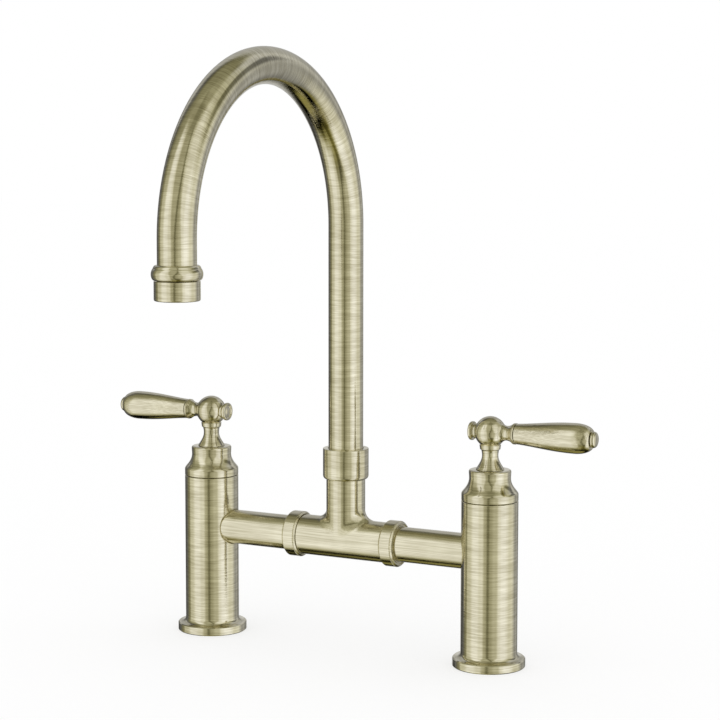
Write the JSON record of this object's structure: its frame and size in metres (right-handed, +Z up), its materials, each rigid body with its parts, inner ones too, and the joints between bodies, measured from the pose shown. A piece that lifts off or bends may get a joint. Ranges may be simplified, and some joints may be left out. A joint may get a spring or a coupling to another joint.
{
  "type": "bridge kitchen faucet",
  "caption": "Bridge kitchen faucet: turned pillars with lever handles carry a tee and a swivelling gooseneck spout.",
  "frame": {"origin": "on the deck plane, under the middle of the whole faucet's outline", "axes": "+X along the bridge to the right handle, +Y to the back, +Z up from the deck"},
  "size_m": [0.34, 0.231, 0.377],
  "materials": {
    "brushed_brass": "brushed, pale antique",
    "raw_brass": "machined",
    "black_rubber": "matt",
    "white_ceramic": "lapped ceramic, opaque",
    "white_nylon": "moulded"
  },
  "bodies": {
    "bridge": {"left_pillar_body": "brushed_brass", "left_foot_gasket": "black_rubber", "left_inlet_washer": "black_rubber", "left_bonnet": "brushed_brass", "left_valve_body": "raw_brass", "left_valve_seal_ring": "black_rubber", "left_seat_seal": "black_rubber", "left_fixed_disc": "white_ceramic", "left_bridge_leg": "brushed_brass", "left_union_washer": "black_rubber", "left_union_nut": "brushed_brass", "right_pillar_body": "brushed_brass", "right_foot_gasket": "black_rubber", "right_inlet_washer": "black_rubber", "right_bonnet": "brushed_brass", "right_valve_body": "raw_brass", "right_valve_seal_ring": "black_rubber", "right_seat_seal": "black_rubber", "right_fixed_disc": "white_ceramic", "right_bridge_leg": "brushed_brass", "right_union_washer": "black_rubber", "right_union_nut": "brushed_brass", "tee_body": "brushed_brass", "spout_nut": "brushed_brass", "slip_washer": "white_nylon"},
    "spout": {"spout_spigot": "raw_brass", "spigot_o_ring_1": "black_rubber", "spigot_o_ring_2": "black_rubber", "spout_tube": "brushed_brass", "outlet_collar": "brushed_brass", "aerator_housing": "brushed_brass", "aerator_insert": "white_nylon", "aerator_washer": "black_rubber"},
    "left_handle": {"left_stem": "raw_brass", "left_moving_disc": "white_ceramic", "left_stem_seal_ring": "black_rubber", "left_handle_hub": "brushed_brass", "left_hub_knob": "brushed_brass", "left_lever_neck": "brushed_brass", "left_lever_grip": "brushed_brass", "left_lever_finial": "brushed_brass"},
    "right_handle": {"right_stem": "raw_brass", "right_moving_disc": "white_ceramic", "right_stem_seal_ring": "black_rubber", "right_handle_hub": "brushed_brass", "right_hub_knob": "brushed_brass", "right_lever_neck": "brushed_brass", "right_lever_grip": "brushed_brass", "right_lever_finial": "brushed_brass"}
  },
  "joints": [
    {"name": "spout_swivel", "type": "hinge", "parent": "bridge", "child": "spout", "pos_m": [0, 0.09295, 0.1222], "axis": [0, 0, 1], "continuous": true},
    {"name": "left_handle_turn", "type": "hinge", "parent": "bridge", "child": "left_handle", "pos_m": [-0.1, 0.09295, 0.1223], "axis": [0, 0, 1], "range_deg": [0, 90]},
    {"name": "right_handle_turn", "type": "hinge", "parent": "bridge", "child": "right_handle", "pos_m": [0.1, 0.09295, 0.1223], "axis": [0, 0, -1], "range_deg": [0, 90]}
  ]
}
